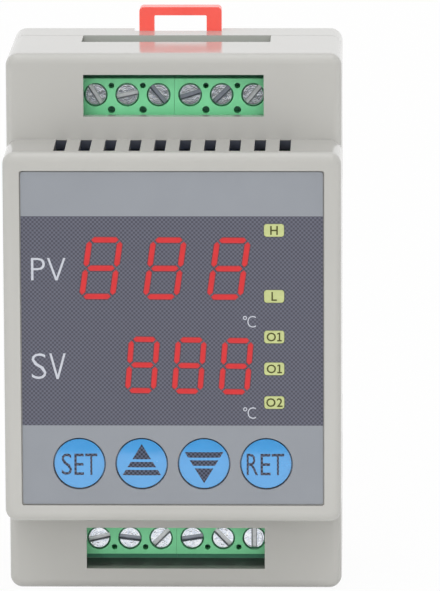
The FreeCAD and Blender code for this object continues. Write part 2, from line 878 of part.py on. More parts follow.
def power_nodes():
    return {
        "main_board": main_board(),
        "transformer": transformer(),
        "first_relay": relay(0),
        "second_relay": relay(1),
        "large_capacitor": capacitor(large_can_place, large_can),
        "small_capacitor": capacitor(small_can_place, small_can),
        "link_header": link_header(),
    }


def main():
    nodes = {"rear_base": rear_base(), "front_cover": front_cover(), "rail_clip": rail_clip()}
    nodes.update(face_nodes())
    nodes.update(key_nodes())
    nodes.update(power_nodes())
    nodes.update(terminal_nodes())
    os.makedirs("parts", exist_ok=True)
    for name, shape in nodes.items():
        shape.exportStep("parts/" + name + ".step")


main()
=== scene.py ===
import math

import bmesh
import bpy
from bpy.props import FloatProperty, FloatVectorProperty, PointerProperty
from mathutils import Matrix, Vector


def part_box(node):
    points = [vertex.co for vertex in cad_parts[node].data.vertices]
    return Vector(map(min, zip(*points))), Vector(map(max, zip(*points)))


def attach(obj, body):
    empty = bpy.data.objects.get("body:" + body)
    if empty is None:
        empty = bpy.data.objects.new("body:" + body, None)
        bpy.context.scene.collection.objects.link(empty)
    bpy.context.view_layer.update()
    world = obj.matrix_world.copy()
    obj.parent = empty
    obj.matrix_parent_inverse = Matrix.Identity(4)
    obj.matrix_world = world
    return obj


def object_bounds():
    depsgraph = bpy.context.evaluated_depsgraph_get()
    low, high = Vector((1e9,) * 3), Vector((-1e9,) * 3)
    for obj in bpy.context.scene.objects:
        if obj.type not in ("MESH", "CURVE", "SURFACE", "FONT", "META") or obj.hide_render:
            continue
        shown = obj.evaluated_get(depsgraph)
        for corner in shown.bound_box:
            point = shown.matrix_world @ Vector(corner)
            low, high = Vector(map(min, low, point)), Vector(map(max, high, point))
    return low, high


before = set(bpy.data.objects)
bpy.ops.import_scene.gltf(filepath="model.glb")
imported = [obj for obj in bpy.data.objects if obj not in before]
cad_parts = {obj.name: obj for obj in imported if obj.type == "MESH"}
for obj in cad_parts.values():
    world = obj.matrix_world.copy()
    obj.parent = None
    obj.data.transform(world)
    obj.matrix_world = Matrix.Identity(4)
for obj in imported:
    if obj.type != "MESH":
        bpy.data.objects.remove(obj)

bl_info = {
    "name": "Temperature Controller Looks",
    "version": (1, 0, 0),
    "blender": (4, 5, 0),
    "location": "3D View > Sidebar > Controller",
    "description": "Dresses the rail-mounted temperature controller and sets its studio",
    "category": "Object",
}

# Metres. +X to the right, +Z up, and the face looks along -Y, as in the frame.
MM = 0.001
CAD_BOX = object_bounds()
FILM_LOW, FILM_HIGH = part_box("face_overlay")
PV_LOW, PV_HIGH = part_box("pv_display")
SV_LOW, SV_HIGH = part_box("sv_display")
SCREW_LOW, SCREW_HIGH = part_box("top_screw_4")
FACE_Y = FILM_LOW.y
BLOCK_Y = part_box("top_left_terminal_block")[0].y
POLE_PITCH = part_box("top_screw_5")[0].x - SCREW_LOW.x
SCREW_X = (SCREW_LOW.x + SCREW_HIGH.x) / 2
SCREW_Z = (SCREW_LOW.z + SCREW_HIGH.z) / 2
POLES = range(1, 7)
ROWS = ("top", "bottom")
KEYS = ("set", "up", "down", "return")
# Screws whose slot floors are painted bright, as if light reached down to them.
LIT_SLOT_SCREWS = ("top_screw_1", "top_screw_2", "top_screw_6",
                "bottom_screw_1", "bottom_screw_3", "bottom_screw_5", "bottom_screw_6")
# Inputs of a Mix node of colours: how much of the second, the first colour, the second colour.
SHARE, FIRST, SECOND = 0, 6, 7


def linear(code):
    """Linear RGB of an sRGB hex colour."""
    parts = [int(code[i:i + 2], 16) / 255 for i in (1, 3, 5)]
    return tuple(c / 12.92 if c <= 0.04045 else ((c + 0.055) / 1.055) ** 2.4 for c in parts)


def colour(name, description, code):
    """Colour setting with an sRGB hex default."""
    return FloatVectorProperty(name=name, description=description, subtype="COLOR", size=3,
                               min=0.0, max=1.0, default=linear(code))


def length(name, description, millimetres):
    """Length setting with a default in millimetres."""
    return FloatProperty(name=name, description=description, unit="LENGTH", precision=5,
                         default=millimetres * MM)


def lengths(name, description, *millimetres):
    """Setting of several lengths with defaults in millimetres."""
    return FloatVectorProperty(name=name, description=description, unit="LENGTH", size=len(millimetres),
                               precision=5, default=[value * MM for value in millimetres])


def number(name, description, value, subtype="NONE"):
    """Plain number setting."""
    return FloatProperty(name=name, description=description, subtype=subtype, default=value)


def angle(name, description, degrees):
    """Angle setting with a default in degrees."""
    return FloatProperty(name=name, description=description, subtype="ANGLE",
                         default=math.radians(degrees))


class HousingSettings(bpy.types.PropertyGroup):
    """Finish of the two housing halves and the rail clip."""

    plastic: colour("Housing plastic", "Pale warm grey of the two housing halves", "#BCBBB7")
    plastic_shade: colour("Housing shade", "Slightly darker flow marks in the housing plastic", "#B9B8B4")
    clip: colour("Clip plastic", "Signal red of the rail clip", "#FF6459")
    clip_shade: colour("Clip shade", "Deeper red of the clip's flow marks", "#FA5E54")
    # Painted shade: the far side of the vents is painted a darker blue grey, where shade falls inside the
    # housing.
    dust: colour("Vent dust", "Grey dust on the far side of the vents", "#969BAC")
    vent_low: lengths("Vent room low", "Lowest corner of the room behind the vents", -24.0, -24.6, -29.95)
    vent_high: lengths("Vent room high", "Highest corner of the room behind the vents", 24.0, -18.0, 29.95)
    grain: length("Mould grain", "Spacing of the moulded grain, drawn about twice as coarse as it is", 0.35)


class FaceSettings(bpy.types.PropertyGroup):
    """Printed film, digits and lamps."""

    band: colour("Band", "Blue grey of the bands above and below the displays", "#92969D")
    band_shade: colour("Band shade", "Second grey of the uneven band print", "#8F939A")
    field_dark: colour("Field dots", "Dark cells of the screened display field", "#494A57")
    field_light: colour("Field ground", "Pale cells of the screened display field", "#666775")
    letters: colour("Letters", "Pale grey of the printed letters", "#C9CCD6")
    digits: colour("Digits", "Red along the middle of the lit bars", "#CE282C")
    bar_edge: colour("Bar edge", "Dim red at the edges of the lit bars", "#A63C42")
    bar_fade: length("Bar fade", "How far the bars are dimmed inwards from their edges", 0.24)
    lens: colour("Lamp lens", "Yellow green of the lamp lenses", "#C1C98A")
    lens_letters: colour("Lamp letters", "Dark olive of the letters on the lamps", "#4A4A18")
    top_band: length("Top band", "Height of the band above the displays", 7.16)
    bottom_band: length("Bottom band", "Height of the band around the keys", 12.89)
    dot: length("Dot spacing", "Side of one cell of the printed dot screen", 0.344)
    pv_spans: lengths("Upper label", "Start and end of each letter from the film's left edge",
                      1.6, 3.83, 4.17, 7.12)
    sv_spans: lengths("Lower label", "Start and end of each letter from the film's left edge",
                      1.56, 3.92, 4.4, 7.02)
    pv_height: length("Upper label height", "Height of the upper letters", 3.63)
    sv_height: length("Lower label height", "Height of the lower letters", 4.18)
    label_drop: length("Label drop", "How far the letters lie below the middle of their display", 0.11)
    label_stroke: length("Label stroke", "Width of the letters' straight strokes", 0.36)
    label_weight: number("Label weight", "Thickening of the font's strokes in the labels", -0.014)
    unit_size: lengths("Unit letter", "Width and height of the unit's letter", 1.36, 1.88)
    unit_ring: length("Unit ring", "Outer radius of the ring of the degree sign", 0.33)
    unit_gap: length("Unit gap", "Room between the ring and the letter", 0.05)
    unit_side: length("Unit side", "From the film's right edge to the unit signs", 10.73)
    unit_stroke: length("Unit stroke", "Width of the ring's stroke", 0.15)
    pv_unit_drop: length("Upper unit drop", "From the display's lower edge to the sign's foot", 2.71)
    sv_unit_drop: length("Lower unit drop", "From the display's lower edge to the sign's foot", 2.33)
    lamp_letter: length("Lamp letter", "Height of the letters on the lamps", 1.43)
    lamp_gap: length("Lamp letter gap", "Room between a letter and a figure on a lamp", 0.2)
    lamp_stroke: length("Lamp stroke", "Width of the strokes of a figure one", 0.23)
    lamp_weight: number("Lamp weight", "Thickening of the font's strokes on the lamps", 0.012)
    ink: length("Ink", "Thickness of the printed ink", 0.02)


class KeySettings(bpy.types.PropertyGroup):
    """Domed keys and their printed legends."""

    plastic: colour("Key plastic", "Sky blue of the domed keys", "#3B9BDE")
    plastic_shade: colour("Key shade", "Deeper blue of the keys' flow marks", "#3797DA")
    ink_dark: colour("Legend dots", "Dark cells of the screened legends", "#232838")
    ink_light: colour("Legend ground", "Pale cells of the screened legends", "#545C72")
    word_height: length("Word height", "Height of the words on the outer keys", 3.5)
    word_drop: length("Word drop", "How far the words lie below the keys' middle", 0.1)
    set_spans: lengths("First word", "Start and end of each letter from the key's middle",
                       -2.88, -1.22, -0.81, 0.71, 0.94, 2.86)
    return_spans: lengths("Last word", "Start and end of each letter from the key's middle",
                          -3.16, -1.33, -0.93, 0.67, 0.86, 2.85)
    word_weight: number("Word weight", "Thickening of the font's strokes on the keys", -0.003)
    arrow_width: length("Arrow width", "Width of the arrow at its widest bar", 6.2)
    arrow_height: length("Arrow height", "Height of the arrow with its two bars", 5.1)
    arrow_head: length("Arrow head", "Height of the arrow's point", 2.45)
    arrow_bar: length("Arrow bar", "Height of each bar", 0.88)
    arrow_shift: length("Arrow shift", "How far the arrows sit off the keys' middle", 0.65)
    drape: length("Drape", "Size of the pieces of a legend that follow the dome", 0.4)


class TerminalSettings(bpy.types.PropertyGroup):
    """Terminal blocks and their metal."""

    block: colour("Terminal green", "Bright green of the terminal blocks", "#8EF3B3")
    block_shade: colour("Terminal shade", "Deeper green of the blocks' flow marks", "#87EDAC")
    # Painted shade: the darker green taken deeper behind the blocks' face, in the wells, holes and ledges.
    block_in_shade: colour("Terminal depth", "Stained green down in the wells and holes", "#63B592")
    stain: lengths("Stain", "How far behind the blocks' face the stain starts and is full", 0.3, 2.0)
    zinc: colour("Zinc", "Bright zinc plating of screws and cages", "#FAFCFF")
    zinc_dull: colour("Dull zinc", "Dulled patches of the plating", "#DCE4F2")
    tin: colour("Tin", "Tin plating of the contacts", "#C6C2B6")
    # Painted shade: the slot walls and floors turn a darker grey with depth behind a head's face.
    dirt: colour("Slot dirt", "Dirt on the walls and floors of the screw slots", "#AEB3C0")
    slot_shade_depth: lengths("Dirt depth", "How far behind a head's face the dirt starts and is full", 0.05, 0.3)
    # Painted light: slot floors painted near white, as if light reached down to them.
    wiped: colour("Wiped slot", "Bare plating on the slot floors that a driver has wiped", "#FBFDFF")
    slot_floor: length("Slot floor", "From the head's face to just short of the slot's floor", 0.85)
    # Painted shade: a dark grey painted into the corners of the slots, where shade falls.
    grime: colour("Corner grime", "Dark grime caked in the corners of the slots", "#40444E")
    corner_shade_reach: length("Grime reach", "How far the grime reaches out of a corner", 0.35)
    worn_edge: length("Worn edge", "Radius of the worn edges of heads and slots", 0.12)
    ring: length("Turning marks", "Spacing of the rings on a screw head, drawn coarser than they are", 0.3)


class InsideSettings(bpy.types.PropertyGroup):
    """Boards and the parts on them."""

    mask: colour("Solder mask", "Dark green of the boards", "#1F5A35")
    mask_track: colour("Tracks", "Paler green over the copper tracks", "#2E7446")
    case: colour("Display case", "Dark grey of the display cases", "#4A4B52")
    black: colour("Black plastic", "Black of switches, plungers, headers and chip", "#1B1B1D")
    relay: colour("Relay plastic", "Blue of the relay covers", "#2456B8")
    sleeve: colour("Can sleeve", "Blue black of the capacitor sleeves", "#1B1F33")
    sleeve_mark: colour("Can stripe", "Pale stripe along the capacitor sleeves", "#B9BEC8")
    stripe_side: length("Stripe place", "From a capacitor's middle to the edge of its stripe", 2.4)
    resin: colour("Potting resin", "Dark blue of the potted transformer", "#16233F")


class StageSettings(bpy.types.PropertyGroup):
    """Camera, lights and floor."""

    target: lengths("Aim", "Point at the middle of the picture", 7.668, -36.5, 6.909)
    distance: length("Distance", "From the camera to the aim", 1016.56)
    azimuth: angle("Azimuth", "How far the camera stands to the right", 1.444)
    elevation: angle("Elevation", "How far the camera stands above the aim", 10.761)
    roll: angle("Roll", "Turn of the camera about its own line of sight", -0.212)
    lens: number("Lens", "Focal length in millimetres on a 36 mm sensor", 388.1)
    paper: colour("Paper", "Near white of the floor", "#F4F4F2")
    paper_size: length("Paper size", "From the middle of the floor to its edges", 4000.0)
    floor_gap: length("Floor gap", "Room between the paper and the housing's foot", 0.05)
    paper_lift: number("Paper lift", "Share of white that the camera sees on the floor", 0.94, "FACTOR")
    paper_edge: length("Paper edge", "Where the white that the object mirrors ends", -345.0)
    paper_fade: length("Paper fade", "Half the width of the band over which that white ends", 100.0)
    front_dim: number("Dim front", "Level of what the object mirrors in front of it", 0.14, "FACTOR")
    sky: number("Sky", "Even light from all round", 0.61, "FACTOR")
    overhead: number("Overhead", "Radiance of the light above", 0.98)
    front: number("Front", "Radiance of the two lights in front", 2.05)
    rear: number("Rear", "Radiance of the light behind", 2.4)
    overhead_place: lengths("Overhead place", "Where the light above hangs", 0.0, -200.0, 900.0)
    front_low_place: lengths("Low front place", "Where the lower light stands", -100.0, -1400.0, 300.0)
    front_high_place: lengths("High front place", "Where the upper light stands", -100.0, -1100.0, 900.0)
    rear_place: lengths("Rear place", "Where the light behind stands", 200.0, 1400.0, 500.0)
    large_box: lengths("Large softbox", "Width and height of the lights above and behind", 1000.0, 800.0)
    small_box: lengths("Small softbox", "Width and height of the lights in front", 1000.0, 600.0)


class ControllerSettings(bpy.types.PropertyGroup):
    """All settings of the controller's looks."""

    housing: PointerProperty(type=HousingSettings)
    face: PointerProperty(type=FaceSettings)
    keys: PointerProperty(type=KeySettings)
    terminals: PointerProperty(type=TerminalSettings)
    inside: PointerProperty(type=InsideSettings)
    stage: PointerProperty(type=StageSettings)


def add(tree, kind, inputs=None, **settings):
    """Adds a node with its settings, and links or sets its inputs by name or number."""
    node = tree.nodes.new(kind)
    for name, value in settings.items():
        setattr(node, name, value)
    for socket, value in (inputs or {}).items():
        if isinstance(value, bpy.types.Node):
            value = next(output for output in value.outputs if output.enabled)
        if isinstance(value, bpy.types.NodeSocket):
            tree.links.new(value, node.inputs[socket])
        else:
            node.inputs[socket].default_value = value
    return node


def opaque(rgb):
    """Colour with full alpha, as a shader socket takes it."""
    return (*rgb, 1.0)


def shade_of(rgb, share):
    """The same colour at a share of its brightness."""
    return [share * part for part in rgb]


def start_material(name):
    """New empty material: itself, its tree and the piece's own coordinates."""
    material = bpy.data.materials.new(name)
    material.use_nodes = True
    tree = material.node_tree
    tree.nodes.clear()
    return material, tree, add(tree, "ShaderNodeTexCoord").outputs["Object"]


def end_material(material, inputs):
    """The same material with the surface that these inputs give."""
    tree = material.node_tree
    surface = add(tree, "ShaderNodeBsdfPrincipled", inputs)
    add(tree, "ShaderNodeOutputMaterial", {"Surface": surface})
    return material


def cloud(tree, place, size):
    """Uneven grey between 0 and 1 whose patches are about size across."""
    noise = add(tree, "ShaderNodeTexNoise", {"Vector": place, "Scale": 1 / size, "Detail": 2.0})
    return add(tree, "ShaderNodeMapRange", {"Value": noise, "From Min": 0.3, "From Max": 0.7})


def mottle(tree, place, first, second, size):
    """Two close colours in soft patches of that size."""
    patches = cloud(tree, place, size)
    return add(tree, "ShaderNodeMix", {SHARE: patches, FIRST: opaque(first), SECOND: opaque(second)},
               data_type="RGBA")


def wander(tree, place, low, high, size):
    """Value that drifts between low and high over patches of that size."""
    patches = cloud(tree, place, size)
    return add(tree, "ShaderNodeMapRange", {"Value": patches, "To Min": low, "To Max": high})


def grain(tree, place, size, depth):
    """Fine bump of that size and depth."""
    noise = add(tree, "ShaderNodeTexNoise", {"Vector": place, "Scale": 1 / size, "Detail": 3.0})
    return add(tree, "ShaderNodeBump", {"Distance": depth, "Height": noise})


def in_box(tree, place, low, high):
    """1 inside the box between two corners, 0 outside it."""
    axes = add(tree, "ShaderNodeSeparateXYZ", {"Vector": place}).outputs
    share = 1.0
    for axis, start, end in zip(axes, low, high):
        within = add(tree, "ShaderNodeMath", {0: axis, 1: (start + end) / 2, 2: (end - start) / 2},
                     operation="COMPARE")
        share = add(tree, "ShaderNodeMath", {0: share, 1: within}, operation="MULTIPLY")
    return share


def dot_screen(tree, place, cell, dark, pale):
    """Printed dot screen in the plane of the face, whose dots line up on the diagonals."""
    flat = add(tree, "ShaderNodeMapping", {
        "Vector": place, "Location": (0.0, cell / 2, 0.0), "Scale": (1.0, 0.0, 1.0)})
    return add(tree, "ShaderNodeTexChecker", {
        "Vector": flat, "Scale": 1 / cell, "Color1": opaque(dark), "Color2": opaque(pale)})


def moulded_abs(settings):
    """Housing plastic."""
    # Moulded ABS from a polished tool: pale and even, faint flow marks, clear reflections at a low angle,
    # and painted shade: a darker blue grey on the far side of the vents.
    material, tree, place = start_material("moulded_abs")
    # Painted shade: the room behind the vents takes a darker colour.
    behind_vents = in_box(tree, place, settings.vent_low, settings.vent_high)
    clean = mottle(tree, place, settings.plastic, settings.plastic_shade, size=25 * MM)
    shaded_vents = add(tree, "ShaderNodeMix", {SHARE: behind_vents, FIRST: clean, SECOND: opaque(settings.dust)},
                data_type="RGBA")
    return end_material(material, {
        "Base Color": shaded_vents,
        "Roughness": wander(tree, place, low=0.1, high=0.14, size=8 * MM),
        "Normal": grain(tree, place, size=settings.grain, depth=0.003 * MM),
        "IOR": 1.54})


def moulded_nylon_red(settings):
    """Rail clip plastic."""
    # Moulded nylon: waxy and even, with light going a little way in, and a faint painted glow of its own
    # red that keeps it bright in shade.
    material, tree, place = start_material("moulded_nylon_red")
    return end_material(material, {
        "Base Color": mottle(tree, place, settings.clip, settings.clip_shade, size=5 * MM),
        "Roughness": wander(tree, place, low=0.14, high=0.22, size=3 * MM),
        "Normal": grain(tree, place, size=0.5 * MM, depth=0.004 * MM),
        "IOR": 1.53,
        # Painted glow: the clip is no lamp, but it emits a little of its own red.
        "Emission Color": opaque(settings.clip),
        "Emission Strength": 0.09,
        "Subsurface Weight": 0.08,
        "Subsurface Scale": 0.6 * MM})


def printed_film(settings):
    """Face film with its printed bands and dot screen."""
    # Screen-printed polycarbonate with a velvet front: no sharp reflection, and dots that just show.
    material, tree, place = start_material("printed_polycarbonate_film")
    height = add(tree, "ShaderNodeSeparateXYZ", {"Vector": place}).outputs["Z"]
    below_top = add(tree, "ShaderNodeMath", {0: height, 1: FILM_HIGH.z - settings.top_band},
                    operation="LESS_THAN")
    above_bottom = add(tree, "ShaderNodeMath", {0: height, 1: FILM_LOW.z + settings.bottom_band},
                       operation="GREATER_THAN")
    in_field = add(tree, "ShaderNodeMath", {0: below_top, 1: above_bottom}, operation="MULTIPLY")
    field = dot_screen(tree, place, settings.dot, settings.field_dark, settings.field_light)
    bands = mottle(tree, place, settings.band, settings.band_shade, size=9 * MM)
    printed = add(tree, "ShaderNodeMix", {SHARE: in_field, FIRST: bands, SECOND: field}, data_type="RGBA")
    return end_material(material, {
        "Base Color": printed,
        "Roughness": wander(tree, place, low=0.5, high=0.6, size=4 * MM),
        "Normal": grain(tree, place, size=0.25 * MM, depth=0.003 * MM),
        "IOR": 1.5})


def screen_ink(name, rgb):
    """Printed ink of one colour."""
    # Screen ink: matt, with a slightly uneven cover.
    material, tree, place = start_material(name)
    return end_material(material, {
        "Base Color": mottle(tree, place, rgb, shade_of(rgb, share=0.92), size=0.6 * MM),
        "Roughness": 0.55,
        "Normal": grain(tree, place, size=0.2 * MM, depth=0.002 * MM)})


def screened_ink(settings, cell):
    """Legend ink with the face's dot screen."""
    # Screen ink through a coarse mesh, so that the blue shows as paler dots.
    material, tree, place = start_material("screened_black_ink")
    return end_material(material, {
        "Base Color": dot_screen(tree, place, cell, settings.ink_dark, settings.ink_light),
        "Roughness": 0.4,
        "Normal": grain(tree, place, size=0.2 * MM, depth=0.002 * MM)})


def lit_epoxy(settings):
    """Lit bars of the digits."""
    # Red epoxy over a light: clear red along the middle of a bar, and dim where it meets the film.
    material, tree, place = start_material("lit_red_epoxy")
    inward = add(tree, "ShaderNodeAmbientOcclusion", {"Distance": settings.bar_fade}, inside=True,
                 only_local=True)
    lit = add(tree, "ShaderNodeMapRange", {"Value": inward.outputs["AO"], "From Min": 0.5})
    core = mottle(tree, place, settings.digits, shade_of(settings.digits, share=0.9), size=1.2 * MM)
    red = add(tree, "ShaderNodeMix", {SHARE: lit, FIRST: opaque(settings.bar_edge), SECOND: core},
              data_type="RGBA")
    return end_material(material, {
        "Base Color": red,
        "Roughness": 0.4,
        "Normal": grain(tree, place, size=0.3 * MM, depth=0.002 * MM),
        "IOR": 1.49,
        "Emission Color": opaque(settings.digits),
        "Emission Strength": 0.1})


def tinted_lens(settings):
    """Lenses of the lamps."""
    # Tinted clear plastic over a diffuser: satin, with a soft uneven glow.
    material, tree, place = start_material("tinted_lens_plastic")
    return end_material(material, {
        "Base Color": mottle(tree, place, settings.lens, shade_of(settings.lens, share=0.9), size=0.9 * MM),
        "Roughness": 0.4,
        "Normal": grain(tree, place, size=0.3 * MM, depth=0.002 * MM),
        "IOR": 1.49,
        "Emission Color": opaque(settings.lens),
        "Emission Strength": 0.05})


def polished_key_plastic(settings):
    """Domed keys."""
    # Polished ABS under a clear lacquer: deep blue with a broad clear reflection on the dome.
    material, tree, place = start_material("polished_blue_abs")
    return end_material(material, {
        "Base Color": mottle(tree, place, settings.plastic, settings.plastic_shade, size=3 * MM),
        "Roughness": wander(tree, place, low=0.2, high=0.28, size=2 * MM),
        "Normal": grain(tree, place, size=1.5 * MM, depth=0.001 * MM),
        "IOR": 1.55,
        "Coat Weight": 1.0,
        "Coat Roughness": 0.12,
        "Coat IOR": 1.85})


def moulded_nylon_green(settings):
    """Terminal blocks."""
    # Glass-filled nylon: bright green, satin, with slightly deeper flow marks, and painted shade: a darker
    # green further behind the face, in the wells, holes and ledges.
    material, tree, place = start_material("moulded_nylon_green")
    depth = add(tree, "ShaderNodeSeparateXYZ", {"Vector": place}).outputs["Y"]
    start, full = settings.stain
    # Painted shade: the green darkens with depth behind the blocks' face.
    stain = add(tree, "ShaderNodeMapRange", {
        "Value": depth, "From Min": BLOCK_Y + start, "From Max": BLOCK_Y + full})
    clean = mottle(tree, place, settings.block, settings.block_shade, size=4 * MM)
    green = add(tree, "ShaderNodeMix", {SHARE: stain, FIRST: clean, SECOND: opaque(settings.block_in_shade)},
                data_type="RGBA")
    return end_material(material, {
        "Base Color": green,
        "Roughness": wander(tree, place, low=0.36, high=0.48, size=1.5 * MM),
        "Normal": grain(tree, place, size=0.3 * MM, depth=0.006 * MM),
        "IOR": 1.53})


def turned_zinc_steel(name, settings, floor):
    """Screws with turning marks on their heads and a slot floor of that colour."""
    # Zinc-plated steel off a lathe: bright and ringed, with scuffs and worn edges, and painted shade
    # darkening the slots and their corners; on the listed screws the slot floors are painted bright, as if
    # lit.
    material, tree, place = start_material(name)
    axes = add(tree, "ShaderNodeSeparateXYZ", {"Vector": place}).outputs
    aside = add(tree, "ShaderNodeMath", {0: axes["X"], 1: SCREW_X}, operation="SUBTRACT")
    from_pole = add(tree, "ShaderNodeMath", {0: aside, 1: POLE_PITCH / 2, 2: -POLE_PITCH / 2},
                    operation="WRAP")
    above = add(tree, "ShaderNodeMath", {0: axes["Z"]}, operation="ABSOLUTE")
    from_row = add(tree, "ShaderNodeMath", {0: above, 1: SCREW_Z}, operation="SUBTRACT")
    reach = add(tree, "ShaderNodeCombineXYZ", {"X": from_pole, "Y": from_row})
    radius = add(tree, "ShaderNodeVectorMath", {0: reach}, operation="LENGTH")
    turns = add(tree, "ShaderNodeMath", {0: radius, 1: math.tau / settings.ring}, operation="MULTIPLY")
    rings = add(tree, "ShaderNodeMath", {0: turns}, operation="SINE")
    plating = mottle(tree, place, settings.zinc, settings.zinc_dull, size=0.45 * MM)
    # Painted shade: the slot's walls and floor turn darker and less metallic with depth behind the head's
    # face.
    start, full = settings.slot_shade_depth
    sunk = add(tree, "ShaderNodeMapRange", {
        "Value": axes["Y"], "From Min": SCREW_LOW.y + start, "From Max": SCREW_LOW.y + full})
    walled = add(tree, "ShaderNodeMix", {SHARE: sunk, FIRST: plating, SECOND: opaque(settings.dirt)},
                 data_type="RGBA")
    # The slot floor takes its own colour: painted shade, or painted light on the listed screws.
    on_floor = add(tree, "ShaderNodeMath", {0: axes["Y"], 1: SCREW_LOW.y + settings.slot_floor},
                   operation="GREATER_THAN")
    uneven = mottle(tree, place, floor, shade_of(floor, share=0.85), size=0.5 * MM)
    slotted = add(tree, "ShaderNodeMix", {SHARE: on_floor, FIRST: walled, SECOND: uneven}, data_type="RGBA")
    # Painted shade: occlusion paints the corners of the slots dark.
    corners = add(tree, "ShaderNodeAmbientOcclusion", {"Distance": settings.corner_shade_reach}, only_local=True)
    darkened = add(tree, "ShaderNodeMapRange", {
        "Value": corners.outputs["AO"], "From Min": 0.5, "From Max": 0.8, "To Min": 1.0, "To Max": 0.0})
    corner_shaded = add(tree, "ShaderNodeMix", {SHARE: darkened, FIRST: slotted, SECOND: opaque(settings.grime)},
               data_type="RGBA")
    scuffs = grain(tree, place, size=0.8 * MM, depth=0.12 * MM)
    turned = add(tree, "ShaderNodeBump", {"Distance": 0.004 * MM, "Height": rings, "Normal": scuffs})
    worn = add(tree, "ShaderNodeBevel", {"Radius": settings.worn_edge, "Normal": turned}, samples=8)
    return end_material(material, {
        "Base Color": corner_shaded,
        # Less metallic with depth, so that the painted shade and painted light down the slots show.
        "Metallic": add(tree, "ShaderNodeMapRange", {"Value": sunk, "To Min": 0.93, "To Max": 0.28}),
        "Roughness": wander(tree, place, low=0.14, high=0.26, size=0.8 * MM),
        "Normal": worn})


def plated_sheet(name, bright, dull):
    """Plated sheet metal."""
    # Stamped and plated sheet: bright, with rolling streaks along it and dull patches.
    material, tree, place = start_material(name)
    streaks = add(tree, "ShaderNodeMapping", {"Vector": place, "Scale": (1.0, 0.1, 1.0)})
    return end_material(material, {
        "Base Color": mottle(tree, place, bright, dull, size=1.5 * MM),
        "Metallic": 1.0,
        "Roughness": wander(tree, place, low=0.28, high=0.45, size=1.0 * MM),
        "Normal": grain(tree, streaks, size=0.15 * MM, depth=0.004 * MM)})


def board_laminate(settings):
    """Printed boards."""
    # Glass laminate under green solder mask: glossy, with tracks showing as paler lines.
    material, tree, place = start_material("masked_glass_laminate")
    flat = add(tree, "ShaderNodeMapping", {"Vector": place, "Rotation": (math.radians(90), 0.0, 0.0)})
    mask = opaque(settings.mask)
    tracks = add(tree, "ShaderNodeTexBrick", {
        "Vector": flat, "Scale": 1.0, "Mortar Size": 0.25 * MM, "Brick Width": 7.62 * MM,
        "Row Height": 2.54 * MM, "Color1": mask, "Color2": mask, "Mortar": opaque(settings.mask_track)})
    return end_material(material, {
        "Base Color": tracks,
        "Roughness": wander(tree, place, low=0.25, high=0.4, size=5 * MM),
        "Normal": add(tree, "ShaderNodeBump", {"Distance": 0.03 * MM, "Height": tracks.outputs["Fac"]}),
        "IOR": 1.55})


def moulded_case(name, rgb, roughness):
    """Small moulded case of a part on a board."""
    # Moulded thermoplastic: satin, with a fine grain and faint flow marks.
    material, tree, place = start_material(name)
    return end_material(material, {
        "Base Color": mottle(tree, place, rgb, shade_of(rgb, share=0.8), size=2.5 * MM),
        "Roughness": wander(tree, place, low=roughness - 0.06, high=roughness + 0.08, size=1.5 * MM),
        "Normal": grain(tree, place, size=0.25 * MM, depth=0.01 * MM),
        "IOR": 1.55})


def shrink_sleeve(settings, node):
    """Sleeve of a capacitor with its stripe."""
    # Printed shrink sleeve: glossy film with one pale stripe down its side.
    material, tree, place = start_material("printed_shrink_sleeve")
    low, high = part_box(node)
    stripe_x = (low.x + high.x) / 2 + settings.stripe_side
    side = add(tree, "ShaderNodeSeparateXYZ", {"Vector": place}).outputs["X"]
    stripe = add(tree, "ShaderNodeMath", {0: side, 1: stripe_x}, operation="GREATER_THAN")
    pale = opaque(settings.sleeve_mark)
    sleeve = add(tree, "ShaderNodeMix", {SHARE: stripe, FIRST: opaque(settings.sleeve), SECOND: pale},
                 data_type="RGBA")
    return end_material(material, {
        "Base Color": sleeve,
        "Roughness": wander(tree, place, low=0.22, high=0.36, size=2 * MM),
        "Normal": grain(tree, place, size=0.8 * MM, depth=0.02 * MM),
        "IOR": 1.5})


def dress(material, *nodes):
    """Gives CAD nodes a material."""
    for node in nodes:
        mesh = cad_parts[node].data
        mesh.materials.clear()
        mesh.materials.append(material)


def add_piece(name, shape, material, body):
    """Makes a finished mesh a piece that rides on a body."""
    mesh = bpy.data.meshes.new(name)
    bmesh.ops.recalc_face_normals(shape, faces=shape.faces)
    shape.to_mesh(mesh)
    shape.free()
    mesh.materials.append(material)
    piece = bpy.data.objects.new(name, mesh)
    bpy.context.scene.collection.objects.link(piece)
    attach(piece, body)


def extent(shape):
    """Lowest and highest corner of a bmesh."""
    low = Vector([min(v.co[axis] for v in shape.verts) for axis in range(3)])
    high = Vector([max(v.co[axis] for v in shape.verts) for axis in range(3)])
    return low, high


def written(text, width, height, thickness, weight):
    """Text as a thin closed solid facing -Y, lower left corner at the origin. Width None keeps its own."""
    curve = bpy.data.curves.new("lettering", "FONT")
    curve.body = text
    # Any depth will do here, because the solid is scaled to its thickness below.
    curve.extrude = 0.1
    curve.offset = weight
    curve.resolution_u = 3
    holder = bpy.data.objects.new("lettering", curve)
    bpy.context.scene.collection.objects.link(holder)
    depsgraph = bpy.context.evaluated_depsgraph_get()
    flat = bpy.data.meshes.new_from_object(holder.evaluated_get(depsgraph))
    shape = bmesh.new()
    shape.from_mesh(flat)
    bpy.data.objects.remove(holder)
    bpy.data.curves.remove(curve)
    bpy.data.meshes.remove(flat)
    bmesh.ops.remove_doubles(shape, verts=shape.verts, dist=1e-5)
    bmesh.ops.rotate(shape, verts=shape.verts, matrix=Matrix.Rotation(math.radians(90), 3, "X"))
    low, high = extent(shape)
    tall = height / (high.z - low.z)
    wide = tall if width is None else width / (high.x - low.x)
    bmesh.ops.translate(shape, verts=shape.verts, vec=(-low.x, -high.y, -low.z))
    bmesh.ops.scale(shape, verts=shape.verts, vec=(wide, thickness / (high.y - low.y), tall))
    return shape


